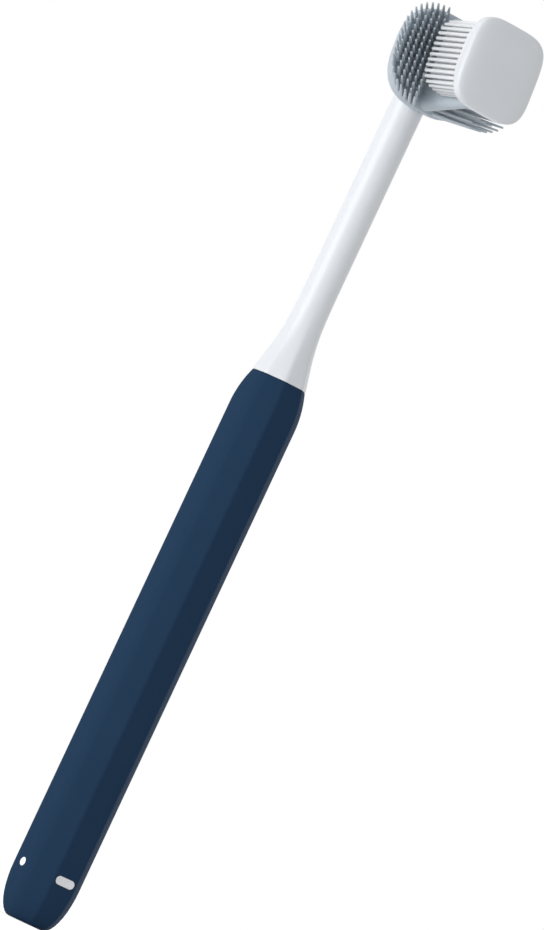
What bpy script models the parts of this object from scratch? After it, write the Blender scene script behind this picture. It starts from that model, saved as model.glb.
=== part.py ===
"""Electric toothbrush with a two sided head that brushes both faces of the teeth.

Metres, +Z from the flat base end to the head, origin at the centre of that end. +X points from
the handle's power button facet to the cheek paddle's side, and the status light faces -Y.
"""

import math

import bmesh
import bpy
from mathutils import Matrix, Vector

# Clearance between two pieces that touch
GAP = 0.0003

# Handle: an octagonal tube with soft corners, a shoulder at each end and a round bore
HANDLE_LENGTH = 0.1438
HANDLE_RADIUS = 0.00868
BASE_FLAT_RADIUS = 0.00455
BASE_SHOULDER = 0.0120
SEAM_RADIUS = 0.0072
TOP_SHOULDER = 0.0095
CORNER_ROUNDING = 0.0001
BORE_RADIUS = 0.00615
FLOOR_THICKNESS = 0.0020
FLOOR_RADIUS = 0.0046
BORE_TAPER = 0.0055

# Controls near the base: the light on the -Y facet, the button on the +X facet
CONTROL_HEIGHT = 0.0128
LENS_RADIUS = 0.0011
LIGHT_LENGTH = 0.0014
LIGHT_WIDTH = 0.0016
LIGHT_THICKNESS = 0.0009
BUTTON_LENGTH = 0.0056
BUTTON_HEIGHT = 0.0022
BUTTON_PROUD = 0.0001
BUTTON_TRAVEL = 0.0004
FLANGE_LIP = 0.0005
FLANGE_THICKNESS = 0.0005
SEAL_THICKNESS = 0.0004
SEAL_HEIGHT = 0.0052
SWITCH_WIDTH = 0.0040
SWITCH_HEIGHT = 0.0036
SWITCH_THICKNESS = 0.0013
PLUNGER_RADIUS = 0.0007
PLUNGER_SEAT = 0.0004

# Charging coil and its core, on the floor of the bore
FERRITE_RADIUS = 0.0020
FERRITE_LENGTH = 0.0055
COIL_RADIUS = 0.0041
COIL_LENGTH = 0.0045

# Chassis: a half pipe with bulkheads that carries the board, the cell and the motor
CHASSIS_WALL = 0.00055
BULKHEAD = 0.0012
BULKHEAD_RISE = 0.0020
BOSS_RADIUS = 0.0015
BOARD_LENGTH = 0.0320
BOARD_THICKNESS = 0.0010
BOARD_EDGE_CLEARANCE = 0.00045
SCREW_RADIUS = 0.0006
SCREW_HEAD_RADIUS = 0.0013
SCREW_HEAD_HEIGHT = 0.0007
SCREW_DEPTH = 0.0035
SCREW_FROM_BOARD_END = 0.0030
SCREW_FROM_SEAL = 0.0012
CHIP_LENGTH = 0.0060
CHIP_WIDTH = 0.0050
CHIP_THICKNESS = 0.0008
CHARGE_CHIP_SIZE = 0.0035

# Battery cell between its two welded tabs. Its length is what board and motor leave in the bore
CELL_RADIUS = 0.0050
CELL_NIB_RADIUS = 0.0018
CELL_NIB_HEIGHT = 0.0006
TAB_THICKNESS = 0.0004
TAB_RADIUS = 0.0036

# Motor with an eccentric weight on its shaft, held in a soft sleeve
MOTOR_RADIUS = 0.0040
MOTOR_LENGTH = 0.0180
MOTOR_CAP_LENGTH = 0.0015
MOTOR_NOSE_RADIUS = 0.0018
MOTOR_NOSE_LENGTH = 0.0010
SLEEVE_WALL = 0.0007
SLEEVE_LENGTH = 0.0150
SHAFT_RADIUS = 0.0006
SHAFT_LENGTH = 0.0115
SHAFT_SEAT = 0.0025
WEIGHT_RADIUS = 0.0038
WEIGHT_LENGTH = 0.0050
WEIGHT_HUB_RADIUS = 0.0017
WEIGHT_CLEARANCE = 0.0020
SHAFT_CLEARANCE = 0.0025

# Coupling post: a plug in the handle's mouth with the post that the brush head sits on
PLUG_LENGTH = 0.0222
KEY_RADIUS = 0.0049
KEY_HEIGHT = 0.0030
POST_RADIUS = 0.00275
POST_LENGTH = 0.0190
RING_PROUD = 0.00005
RING_HEIGHT = 0.0010
RING_DEPTH = 0.00035
GRIP_RING_BELOW_TIP = 0.0070
SEAL_RING_HEIGHT = 0.0010
SEAL_RING_DEPTH = 0.0006
SEAL_RING_BELOW_MOUTH = 0.0110

# Neck: flares from the handle's octagon to a round rod
NECK_LENGTH = 0.0725
NECK_RADIUS = 0.00414
FLARE_LENGTH = 0.0260
FLARE_POWER = 2.8
FLATS_END = 0.0186

# Spine: the neck's rod, which runs on behind the wall and ends in a rounded tip. Each ring has its
# height above the neck's top, its radius and how far it has moved towards the wall.
SPINE_RINGS = (
    (0.0012, 0.00414, 0.0),
    (0.0030, 0.00420, 0.0006),
    (0.0060, 0.00390, 0.0006),
    (0.0085, 0.00330, 0.0008),
    (0.0104, 0.00240, 0.0014),
    (0.0115, 0.00120, 0.0024),
)

# Head: measured along its own tilted axes from its centre, which lies above the neck's top
HEAD_RISE = 0.0119
HEAD_TILT = math.radians(6.7)
WALL_HALF_HEIGHT = 0.0143
WALL_HALF_LENGTH = 0.0124
WALL_POWER = 2.8
WALL_FACE = 0.0043
WALL_CORE_THICKNESS = 0.0010
WALL_SKIN = 0.0008
PAD_SIDE = 0.0008
PAD_ROUNDING = 0.0012
WEB_CORE_HALF_THICKNESS = 0.0007
WEB_SKIN_AT_WALL = 0.0016
WEB_SKIN_AT_PADDLE = 0.0004
WEB_END_SKIN = 0.0007
WEB_HALF_LENGTH_AT_WALL = 0.0121
WEB_HALF_LENGTH_AT_PADDLE = 0.0095
WEB_ROOT = 0.0010
PADDLE_FACE = 0.0272
PADDLE_THICKNESS = 0.0034
PADDLE_HALF_HEIGHT = 0.01105
PADDLE_HALF_LENGTH = 0.0114
PADDLE_POWER = 4.0
PADDLE_EDGE_ROUNDING = 0.0004
CROWN_HEIGHT = 0.0015
CROWN_WIDTH = 0.0075
CROWN_POWER = 2.5

# Soft spikes on the wall, which lean out from the web, and straight bristles on the paddle
SLAB_THICKNESS = 0.0008
SPIKE_LENGTH = 0.0100
SPIKE_LEAN = math.radians(38.5)
SPIKE_COLUMNS = 7
SPIKE_PITCH = 0.00152
SPIKE_BASE = 0.0010
SPIKE_TIP = 0.00045
BRISTLE_LENGTH = 0.0113
BRISTLE_COLUMNS = 7
BRISTLE_PITCH = 0.00146
BRISTLE_BASE = 0.00090
BRISTLE_TIP = 0.00072
BRISTLE_EDGE = 0.0003
BRISTLES_FROM_PADDLE_END = 0.0011
BRISTLES_FROM_PADDLE_FOOT = 0.0032
BRISTLE_POWER = 3.5
STRAND_TO_RIM = 0.0001

# Fineness of round pieces
FACETS = 8
RING_POINTS = 32
ROUND_SIDES = 24
SMALL_ROUND_SIDES = 16
SCREW_SIDES = 12
OUTLINE_POINTS = 48

EIGHTH = math.tau / FACETS
HANDLE_FLAT = HANDLE_RADIUS * math.cos(EIGHTH / 2)


def clear_scene():
    for old in list(bpy.data.objects):
        bpy.data.objects.remove(old, do_unlink=True)


def make_material(name, colour, roughness, metallic=0.0):
    material = bpy.data.materials.new(name)
    material.use_nodes = True
    shader = material.node_tree.nodes["Principled BSDF"]
    shader.inputs["Base Color"].default_value = (*colour, 1.0)
    shader.inputs["Roughness"].default_value = roughness
    shader.inputs["Metallic"].default_value = metallic
    return material


def add_object(name, shape, material=None, parent=None):
    """Turns a bmesh into an object. One with no material is a helper, which isn't rendered."""
    mesh = bpy.data.meshes.new(name)
    shape.to_mesh(mesh)
    shape.free()
    mesh.shade_smooth()
    mesh.set_sharp_from_angle(angle=math.radians(30))
    thing = bpy.data.objects.new(name, mesh)
    bpy.context.scene.collection.objects.link(thing)
    thing.parent = parent
    if material is None:
        thing.hide_render = True
        thing.display_type = "WIRE"
    else:
        mesh.materials.append(material)
    return thing


def combine(target, helper, operation):
    boolean = target.modifiers.new(helper.name, "BOOLEAN")
    boolean.object = helper
    boolean.operation = operation
    boolean.solver = "EXACT"


def cut(target, *helpers):
    for helper in helpers:
        combine(target, helper, "DIFFERENCE")


def join(target, *helpers):
    for helper in helpers:
        combine(target, helper, "UNION")


def loft(rings, closed=False):
    """A skin over rings of equally many points, capped at both ends unless it closes on itself."""
    shape = bmesh.new()
    loops = [[shape.verts.new(point) for point in ring] for ring in rings]
    followers = loops[1:] + loops[:1] if closed else loops[1:]
    for low, high in zip(loops, followers):
        for i in range(len(low)):
            j = (i + 1) % len(low)
            shape.faces.new((low[i], low[j], high[j], high[i]))
    if not closed:
        shape.faces.new(loops[0])
        shape.faces.new(loops[-1])
    bmesh.ops.recalc_face_normals(shape, faces=shape.faces)
    return shape


def circle(radius, z, points=ROUND_SIDES):
    angles = (math.tau * i / points for i in range(points))
    return [(radius * math.cos(a), radius * math.sin(a), z) for a in angles]


def octagon(radius, z, roundness=0.0):
    """A ring with the handle's eight flats and soft corners, blended towards a circle."""
    ring = []
    for i in range(RING_POINTS):
        angle = math.tau * i / RING_POINTS
        from_flat = (angle + EIGHTH / 2) % EIGHTH - EIGHTH / 2
        flat = radius * math.cos(EIGHTH / 2) / math.cos(from_flat)
        reach = min(flat, radius - CORNER_ROUNDING)
        reach += roundness * (radius - reach)
        ring.append((reach * math.cos(angle), reach * math.sin(angle), z))
    return ring


def turned(profile, points=ROUND_SIDES):
    """A solid of revolution about Z from (radius, z) pairs, bottom to top."""
    return loft([circle(radius, z, points) for radius, z in profile])


def tube(inner, outer, bottom, top, points=ROUND_SIDES):
    section = ((inner, bottom), (outer, bottom), (outer, top), (inner, top))
    return loft([circle(radius, z, points) for radius, z in section], closed=True)


def box(low, high):
    shape = bmesh.new()
    bmesh.ops.create_cube(shape, size=1.0)
    size = Vector(high) - Vector(low)
    middle = (Vector(high) + Vector(low)) / 2
    bmesh.ops.scale(shape, vec=size, verts=shape.verts)
    bmesh.ops.translate(shape, vec=middle, verts=shape.verts)
    return shape


def rod(start, end, radius, points=ROUND_SIDES):
    """A round bar between two points, turned half a side so that no corner meets a middle plane."""
    start, end = Vector(start), Vector(end)
    shape = turned(((radius, 0.0), (radius, (end - start).length)), points)
    bmesh.ops.rotate(shape, matrix=Matrix.Rotation(math.pi / points, 3, "Z"), verts=shape.verts)
    turn = Vector((0, 0, 1)).rotation_difference(end - start).to_matrix().to_4x4()
    bmesh.ops.transform(shape, matrix=Matrix.Translation(start) @ turn, verts=shape.verts)
    return shape


def stadium(half_length, half_height, x):
    """An oblong ring across the X axis, with round ends along Y."""
    straight = half_length - half_height
    ring = []
    for i in range(ROUND_SIDES):
        angle = math.tau * (i + 0.5) / ROUND_SIDES
        side = math.copysign(straight, math.cos(angle))
        y = side + half_height * math.cos(angle)
        ring.append((x, y, CONTROL_HEIGHT + half_height * math.sin(angle)))
    return ring


def outline_reach(angle, half_height, half_length, power):
    """How far a rounded square reaches from its centre, the angle being counted from Y to Z."""
    across = abs(math.cos(angle) / half_height) ** power
    along = abs(math.sin(angle) / half_length) ** power
    return (across + along) ** (-1 / power)


def plate(half_height, half_length, power, centre, steps):
    """A rounded square plate from (x, inset) steps along the head's X axis."""
    rings = []
    for x, inset in steps:
        ring = []
        for i in range(OUTLINE_POINTS):
            angle = math.tau * (i + 0.5) / OUTLINE_POINTS
            reach = outline_reach(angle, half_height - inset, half_length - inset, power)
            ring.append((x, reach * math.cos(angle), centre + reach * math.sin(angle)))
        rings.append(ring)
    return loft(rings)


def handle_radius_at(z):
    """Corner radius of the handle, with an elliptic shoulder at the base and at the mouth."""
    if z < BASE_SHOULDER:
        left = 1 - z / BASE_SHOULDER
        return BASE_FLAT_RADIUS + (HANDLE_RADIUS - BASE_FLAT_RADIUS) * math.sqrt(1 - left**2)
    into = max(0.0, 1 - (HANDLE_LENGTH - z) / TOP_SHOULDER)
    return HANDLE_RADIUS - (HANDLE_RADIUS - SEAM_RADIUS) * into**2


def neck_radius_at(rise):
    left = max(0.0, 1 - rise / FLARE_LENGTH)
    return NECK_RADIUS + (SEAM_RADIUS - NECK_RADIUS) * left**FLARE_POWER


def board_face():
    """X of the board's outer face. The board lies on the edges of the half pipe, at X = 0."""
    return GAP + BOARD_THICKNESS


def board_half_width():
    """The board's long edges stay clear of the bore's wall."""
    return math.sqrt(BORE_RADIUS**2 - board_face() ** 2) - BOARD_EDGE_CLEARANCE


def flange_top():
    """X of the button flange's outer face, which its two ends' clearance from the bore sets."""
    return math.sqrt(BORE_RADIUS**2 - (BUTTON_LENGTH / 2 + FLANGE_LIP) ** 2) - GAP


clear_scene()

navy_plastic = make_material("navy_plastic", (0.023, 0.048, 0.093), 0.45)
white_plastic = make_material("white_plastic", (0.80, 0.81, 0.83), 0.30)
grey_rubber = make_material("grey_rubber", (0.33, 0.39, 0.45), 0.50)
spike_rubber = make_material("spike_rubber", (0.16, 0.20, 0.24), 0.45)
white_bristle = make_material("white_bristle", (0.82, 0.83, 0.84), 0.35)
light_lens = make_material("light_lens", (0.85, 0.86, 0.87), 0.25)
black_rubber = make_material("black_rubber", (0.03, 0.03, 0.03), 0.60)
grey_plastic = make_material("grey_plastic", (0.25, 0.26, 0.27), 0.50)
board_green = make_material("board_green", (0.02, 0.16, 0.07), 0.40)
chip_black = make_material("chip_black", (0.02, 0.02, 0.02), 0.40)
bright_steel = make_material("bright_steel", (0.60, 0.60, 0.60), 0.30, 1.0)
nickel = make_material("nickel", (0.66, 0.62, 0.55), 0.30, 1.0)
copper = make_material("copper", (0.75, 0.32, 0.16), 0.35, 1.0)
ferrite = make_material("ferrite", (0.06, 0.06, 0.065), 0.70)
cell_wrap = make_material("cell_wrap", (0.05, 0.25, 0.42), 0.35)

# Handle shell: the outside is lofted up to the mouth, then back down the bore to its floor
base_steps = (0.0, 0.03, 0.11, 0.24, 0.42, 0.66, 1.0)
mouth_steps = (1.0, 0.72, 0.45, 0.2, 0.0)
outside = [BASE_SHOULDER * step for step in base_steps]
outside += [HANDLE_LENGTH - TOP_SHOULDER * step for step in mouth_steps]
handle_rings = [octagon(handle_radius_at(z), z) for z in outside]
bore_steps = (
    (BORE_RADIUS, HANDLE_LENGTH),
    (BORE_RADIUS, FLOOR_THICKNESS + BORE_TAPER),
    (FLOOR_RADIUS, FLOOR_THICKNESS),
)
handle_rings += [circle(radius, z, RING_POINTS) for radius, z in bore_steps]
handle_shell = add_object("handle_shell", loft(handle_rings), navy_plastic)

lens_face = (0.0, -HANDLE_FLAT, CONTROL_HEIGHT)
lens_back = (0.0, -board_half_width() - GAP, CONTROL_HEIGHT)
beyond = (0.0, -HANDLE_FLAT - GAP, CONTROL_HEIGHT)
lens_hole = add_object("lens_hole", rod(beyond, lens_back, LENS_RADIUS + GAP))
button_half_length = BUTTON_LENGTH / 2
button_half_height = BUTTON_HEIGHT / 2
button_hole_rings = [
    stadium(button_half_length + GAP, button_half_height + GAP, x)
    for x in (flange_top() - GAP, HANDLE_FLAT + BUTTON_PROUD + GAP)
]
button_hole = add_object("button_hole", loft(button_hole_rings))
cut(handle_shell, lens_hole, button_hole)

# Status light: a clear plug in the facet, and the light behind it on the board's inner face
lens = rod(lens_back, lens_face, LENS_RADIUS, SMALL_ROUND_SIDES)
add_object("status_light_lens", lens, light_lens)
light_outer = lens_back[1] + GAP
status_light = box(
    (-LIGHT_THICKNESS, light_outer, CONTROL_HEIGHT - LIGHT_WIDTH / 2),
    (0.0, light_outer + LIGHT_LENGTH, CONTROL_HEIGHT + LIGHT_WIDTH / 2),
)
add_object("status_light", status_light, light_lens)

# Power button: an oblong key whose inner flange keeps it in the wall, and the switch it presses
flange_back = flange_top() - FLANGE_THICKNESS
flange = (button_half_length + FLANGE_LIP, button_half_height + FLANGE_LIP)
button_top = HANDLE_FLAT + BUTTON_PROUD
button_rings = [
    stadium(*flange, flange_back),
    stadium(*flange, flange_top()),
    stadium(button_half_length, button_half_height, flange_top()),
    stadium(button_half_length, button_half_height, button_top - GAP / 2),
    stadium(button_half_length - GAP / 2, button_half_height - GAP / 2, button_top),
]
power_button = add_object("power_button", loft(button_rings), white_plastic)

switch_top = board_face() + GAP + SWITCH_THICKNESS
switch_body = add_object(
    "switch_body",
    box(
        (board_face() + GAP, -SWITCH_WIDTH / 2, CONTROL_HEIGHT - SWITCH_HEIGHT / 2),
        (switch_top, SWITCH_WIDTH / 2, CONTROL_HEIGHT + SWITCH_HEIGHT / 2),
    ),
    bright_steel,
)
plunger_top = (flange_back - GAP, 0.0, CONTROL_HEIGHT)
plunger_foot = (switch_top - PLUNGER_SEAT, 0.0, CONTROL_HEIGHT)
plunger_pit = (plunger_foot[0] - BUTTON_TRAVEL - GAP / 2, 0.0, CONTROL_HEIGHT)
plunger = rod(plunger_foot, plunger_top, PLUNGER_RADIUS, SMALL_ROUND_SIDES)
add_object("switch_plunger", plunger, chip_black)
plunger_room = rod(plunger_pit, plunger_top, PLUNGER_RADIUS + GAP, SMALL_ROUND_SIDES)
plunger_hole = add_object("plunger_hole", plunger_room)
cut(switch_body, plunger_hole)

seal_low = switch_top + GAP
seal_high = seal_low + SEAL_THICKNESS
seal_half_width = math.sqrt(BORE_RADIUS**2 - seal_high**2) - GAP
button_seal = add_object(
    "button_seal",
    box(
        (seal_low, -seal_half_width, CONTROL_HEIGHT - SEAL_HEIGHT / 2),
        (seal_high, seal_half_width, CONTROL_HEIGHT + SEAL_HEIGHT / 2),
    ),
    black_rubber,
)
cut(button_seal, plunger_hole)

# Charging coil round its ferrite core
coil_bottom = FLOOR_THICKNESS + GAP
ferrite_top = coil_bottom + FERRITE_LENGTH
core = turned(((FERRITE_RADIUS, coil_bottom), (FERRITE_RADIUS, ferrite_top)))
add_object("ferrite_core", core, ferrite)
coil = tube(FERRITE_RADIUS + GAP, COIL_RADIUS, coil_bottom, coil_bottom + COIL_LENGTH)
add_object("charging_coil", coil, copper)

# Heights from the coil up to the cell's lower end, each piece standing on the one below
chassis_bottom = ferrite_top + GAP
board_bottom = chassis_bottom + GAP
board_top = board_bottom + BOARD_LENGTH
lower_bulkhead = board_top + GAP
lower_tab = lower_bulkhead + BULKHEAD + GAP
cell_bottom = lower_tab + TAB_THICKNESS + GAP

# Heights from the plug in the mouth down to the cell's upper end
plug_bottom = HANDLE_LENGTH - PLUG_LENGTH
chassis_top = plug_bottom - GAP
shaft_top = chassis_top - SHAFT_CLEARANCE
shaft_bottom = shaft_top - SHAFT_LENGTH
motor_top = shaft_bottom + SHAFT_SEAT
weight_bottom = motor_top + MOTOR_NOSE_LENGTH + WEIGHT_CLEARANCE
weight_top = weight_bottom + WEIGHT_LENGTH
motor_bottom = motor_top - MOTOR_LENGTH
motor_cap_bottom = motor_bottom - GAP - MOTOR_CAP_LENGTH
upper_bulkhead = motor_cap_bottom - GAP - BULKHEAD
upper_tab = upper_bulkhead - GAP - TAB_THICKNESS
cell_top = upper_tab - GAP - CELL_NIB_HEIGHT

# Chassis: the half pipe lies under the board on the -X side
chassis_outer = BORE_RADIUS - GAP
chassis_inner = chassis_outer - CHASSIS_WALL
half_turn = [math.pi / 2 + math.pi * i / ROUND_SIDES for i in range(ROUND_SIDES + 1)]
chassis_rings = []
for z in (chassis_bottom, chassis_top):
    ring = [(chassis_outer * math.cos(a), chassis_outer * math.sin(a), z) for a in half_turn]
    ring += [
        (chassis_inner * math.cos(a), chassis_inner * math.sin(a), z) for a in reversed(half_turn)
    ]
    chassis_rings.append(ring)
chassis = add_object("chassis", loft(chassis_rings), grey_plastic)
bulkhead_radius = (chassis_inner + chassis_outer) / 2
rise_angle = math.acos(BULKHEAD_RISE / bulkhead_radius)
rise_turn = math.tau - 2 * rise_angle
for name, z in (("lower_bulkhead", lower_bulkhead), ("upper_bulkhead", upper_bulkhead)):
    rings = []
    for level in (z, z + BULKHEAD):
        angles = [rise_angle + rise_turn * i / ROUND_SIDES for i in range(ROUND_SIDES + 1)]
        rings.append(
            [(bulkhead_radius * math.cos(a), bulkhead_radius * math.sin(a), level) for a in angles]
        )
    join(chassis, add_object(name, loft(rings)))
seal_top = CONTROL_HEIGHT + SEAL_HEIGHT / 2
upper_screw = board_top - SCREW_FROM_BOARD_END
lower_screw = seal_top + SCREW_FROM_SEAL + SCREW_HEAD_RADIUS
screw_heights = (upper_screw, lower_screw)
for number, z in enumerate(screw_heights, start=1):
    boss = rod((-bulkhead_radius, 0.0, z), (0.0, 0.0, z), BOSS_RADIUS, SMALL_ROUND_SIDES)
    join(chassis, add_object(f"boss_{number}", boss))
    hole_end = (board_face() - SCREW_DEPTH - 2 * GAP, 0.0, z)
    hole = rod(hole_end, (board_face() + GAP, 0.0, z), SCREW_RADIUS + GAP, SMALL_ROUND_SIDES)
    cut(chassis, add_object(f"boss_hole_{number}", hole))
lens_notch = box(
    (-LENS_RADIUS - GAP, -chassis_outer - GAP, CONTROL_HEIGHT - LENS_RADIUS - GAP),
    (GAP, 2 * GAP - chassis_inner, CONTROL_HEIGHT + LENS_RADIUS + GAP),
)
cut(chassis, add_object("lens_notch", lens_notch))

# Circuit board with its chips and the two screws that hold it to the bosses
board_low = (GAP, -board_half_width(), board_bottom)
board_high = (board_face(), board_half_width(), board_top)
circuit_board = add_object("circuit_board", box(board_low, board_high), board_green)
for number, z in enumerate(screw_heights, start=1):
    cut(circuit_board, bpy.data.objects[f"boss_hole_{number}"])
    head_low = board_face() + GAP
    shank_ends = ((head_low - SCREW_DEPTH, 0.0, z), (head_low + GAP, 0.0, z))
    screw = rod(*shank_ends, SCREW_RADIUS, SCREW_SIDES)
    board_screw = add_object(f"board_screw_{number}", screw, bright_steel)
    head_ends = ((head_low, 0.0, z), (head_low + SCREW_HEAD_HEIGHT, 0.0, z))
    head = rod(*head_ends, SCREW_HEAD_RADIUS, SCREW_SIDES)
    join(board_screw, add_object(f"screw_head_{number}", head))
chip_z = (upper_screw + lower_screw) / 2
control_chip = box(
    (board_face() + GAP, -CHIP_WIDTH / 2, chip_z - CHIP_LENGTH / 2),
    (board_face() + GAP + CHIP_THICKNESS, CHIP_WIDTH / 2, chip_z + CHIP_LENGTH / 2),
)
add_object("control_chip", control_chip, chip_black)
charge_chip = box(
    (-CHIP_THICKNESS, -CHARGE_CHIP_SIZE / 2, chip_z - CHARGE_CHIP_SIZE / 2),
    (0.0, CHARGE_CHIP_SIZE / 2, chip_z + CHARGE_CHIP_SIZE / 2),
)
add_object("charge_chip", charge_chip, chip_black)

# Battery cell, with its nib towards the head, and a round tab at each end
cell_profile = (
    (CELL_RADIUS, cell_bottom),
    (CELL_RADIUS, cell_top),
    (CELL_NIB_RADIUS, cell_top),
    (CELL_NIB_RADIUS, cell_top + CELL_NIB_HEIGHT),
)
add_object("battery_cell", turned(cell_profile), cell_wrap)
for name, z in (("battery_tab_minus", lower_tab), ("battery_tab_plus", upper_tab)):
    tab_profile = ((TAB_RADIUS, z), (TAB_RADIUS, z + TAB_THICKNESS))
    add_object(name, turned(tab_profile, SMALL_ROUND_SIDES), nickel)

# Motor: can with its nose, end cap and soft sleeve
can_profile = (
    (MOTOR_RADIUS, motor_bottom),
    (MOTOR_RADIUS, motor_top),
    (MOTOR_NOSE_RADIUS, motor_top),
    (MOTOR_NOSE_RADIUS, motor_top + MOTOR_NOSE_LENGTH),
    (SHAFT_RADIUS + GAP, motor_top + MOTOR_NOSE_LENGTH),
    (SHAFT_RADIUS + GAP, shaft_bottom - GAP),
)
add_object("motor_can", turned(can_profile), bright_steel)
motor_cap_profile = (
    (MOTOR_RADIUS, motor_cap_bottom),
    (MOTOR_RADIUS, motor_cap_bottom + MOTOR_CAP_LENGTH),
)
add_object("motor_end_cap", turned(motor_cap_profile), white_plastic)
sleeve_inner = MOTOR_RADIUS + GAP
sleeve_low = motor_bottom + (MOTOR_LENGTH - SLEEVE_LENGTH) / 2
sleeve = tube(sleeve_inner, sleeve_inner + SLEEVE_WALL, sleeve_low, sleeve_low + SLEEVE_LENGTH)
add_object("motor_sleeve", sleeve, black_rubber)

# Rotor: the shaft and the half disc that shakes the handle, both turning about Z
shaft_profile = ((SHAFT_RADIUS, shaft_bottom), (SHAFT_RADIUS, shaft_top))
add_object("motor_shaft", turned(shaft_profile, SMALL_ROUND_SIDES), bright_steel)
hub_hole = SHAFT_RADIUS + GAP
weight = tube(hub_hole, WEIGHT_HUB_RADIUS, weight_bottom, weight_top)
eccentric_weight = add_object("eccentric_weight", weight, nickel)
half_disc_rings = []
for z in (weight_bottom, weight_top):
    ring = [(WEIGHT_RADIUS * math.cos(a), WEIGHT_RADIUS * math.sin(a), z) for a in half_turn]
    half_disc_rings.append(ring)
half_disc = add_object("half_disc", loft(half_disc_rings))
join(eccentric_weight, half_disc)
bore_cutter = turned(((hub_hole, weight_bottom - GAP), (hub_hole, weight_top + GAP)))
cut(eccentric_weight, add_object("hub_hole", bore_cutter))

# Coupling post: plug with a seal ring in the mouth, an eight sided key, then the post
plug_radius = BORE_RADIUS - GAP
seal_ring_top = HANDLE_LENGTH - SEAL_RING_BELOW_MOUTH
seal_ring_bottom = seal_ring_top - SEAL_RING_HEIGHT
seal_ring_inner = plug_radius - SEAL_RING_DEPTH
key_top = HANDLE_LENGTH + KEY_HEIGHT
post_top = key_top + POST_LENGTH
grip_ring_top = post_top - GRIP_RING_BELOW_TIP
grip_ring_bottom = grip_ring_top - RING_HEIGHT
grip_ring_inner = POST_RADIUS - RING_DEPTH
plug_rings = [
    circle(plug_radius, plug_bottom, RING_POINTS),
    circle(plug_radius, seal_ring_bottom - GAP, RING_POINTS),
    circle(seal_ring_inner - GAP, seal_ring_bottom - GAP, RING_POINTS),
    circle(seal_ring_inner - GAP, seal_ring_top + GAP, RING_POINTS),
    circle(plug_radius, seal_ring_top + GAP, RING_POINTS),
    circle(plug_radius, HANDLE_LENGTH, RING_POINTS),
    octagon(KEY_RADIUS, HANDLE_LENGTH),
    octagon(KEY_RADIUS, key_top),
    circle(POST_RADIUS, key_top, RING_POINTS),
    circle(POST_RADIUS, grip_ring_bottom - GAP, RING_POINTS),
    circle(grip_ring_inner - GAP, grip_ring_bottom - GAP, RING_POINTS),
    circle(grip_ring_inner - GAP, grip_ring_top + GAP, RING_POINTS),
    circle(POST_RADIUS, grip_ring_top + GAP, RING_POINTS),
    circle(POST_RADIUS, post_top - GAP, RING_POINTS),
    circle(POST_RADIUS - GAP, post_top, RING_POINTS),
]
add_object("coupling_post", loft(plug_rings), white_plastic)
seal_ring = tube(seal_ring_inner, plug_radius, seal_ring_bottom, seal_ring_top)
add_object("handle_seal_ring", seal_ring, black_rubber)
grip_ring_outer = POST_RADIUS + RING_PROUD
grip_ring = tube(grip_ring_inner, grip_ring_outer, grip_ring_bottom, grip_ring_top)
add_object("post_grip_ring", grip_ring, black_rubber)

# The head's own axes: X from the wall to the paddle, Z along the rows of teeth
neck_bottom = HANDLE_LENGTH + GAP
neck_top = neck_bottom + NECK_LENGTH
head_axes = bpy.data.objects.new("head_axes", None)
bpy.context.scene.collection.objects.link(head_axes)
head_axes.location = (0.0, 0.0, neck_top + HEAD_RISE)
head_axes.rotation_euler = (0.0, -HEAD_TILT, 0.0)

# Neck and head frame: one white moulding of neck, spine, wall core, web core and paddle
socket_radius = grip_ring_outer + GAP
key_recess = KEY_RADIUS + GAP
neck_rings = [
    circle(socket_radius, post_top + GAP, RING_POINTS),
    circle(socket_radius, key_top + GAP, RING_POINTS),
    octagon(key_recess, key_top + GAP),
    octagon(key_recess, neck_bottom),
]
flare_steps = (0.0, 0.06, 0.13, 0.23, 0.35, 0.5, 0.7, 1.0)
for step in flare_steps:
    rise = FLARE_LENGTH * step
    roundness = min(1.0, rise / FLATS_END)
    neck_rings.append(octagon(neck_radius_at(rise), neck_bottom + rise, roundness))
neck_rings.append(octagon(NECK_RADIUS, neck_top, 1.0))
for rise, radius, shift in SPINE_RINGS:
    neck_rings.append([(x + shift, y, z) for x, y, z in circle(radius, neck_top + rise, RING_POINTS)])
neck_and_frame = add_object("neck_and_frame", loft(neck_rings), white_plastic)

wall_back = WALL_FACE - WALL_CORE_THICKNESS
wall_middle = (wall_back + WALL_FACE) / 2
core_inset = PAD_SIDE + GAP
wall_core = plate(
    WALL_HALF_HEIGHT - core_inset,
    WALL_HALF_LENGTH - core_inset,
    WALL_POWER,
    0.0,
    ((wall_back, 0.0), (WALL_FACE, 0.0)),
)
wall_core = add_object("wall_core", wall_core, parent=head_axes)


def web_half_thickness(x):
    """Half the covered web's thickness, which draws in from the wall to the paddle."""
    share = (x - WALL_FACE) / (PADDLE_FACE - WALL_FACE)
    skin = WEB_SKIN_AT_WALL + share * (WEB_SKIN_AT_PADDLE - WEB_SKIN_AT_WALL)
    return WEB_CORE_HALF_THICKNESS + GAP + skin


def web_plate(steps, margin):
    """The web from (x, half thickness) steps. Its ends along Z are round and draw in too."""
    rings = []
    for x, half_thickness in steps:
        share = (x - WALL_FACE) / (PADDLE_FACE - WALL_FACE)
        shrink = share * (WEB_HALF_LENGTH_AT_WALL - WEB_HALF_LENGTH_AT_PADDLE)
        half_length = WEB_HALF_LENGTH_AT_WALL - shrink + margin
        straight = half_length - half_thickness
        ring = []
        for i in range(ROUND_SIDES):
            angle = math.tau * (i + 0.5) / ROUND_SIDES
            side = math.copysign(straight, math.sin(angle))
            y = half_thickness * math.cos(angle)
            ring.append((x, y, side + half_thickness * math.sin(angle)))
        rings.append(ring)
    return loft(rings)


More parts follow.
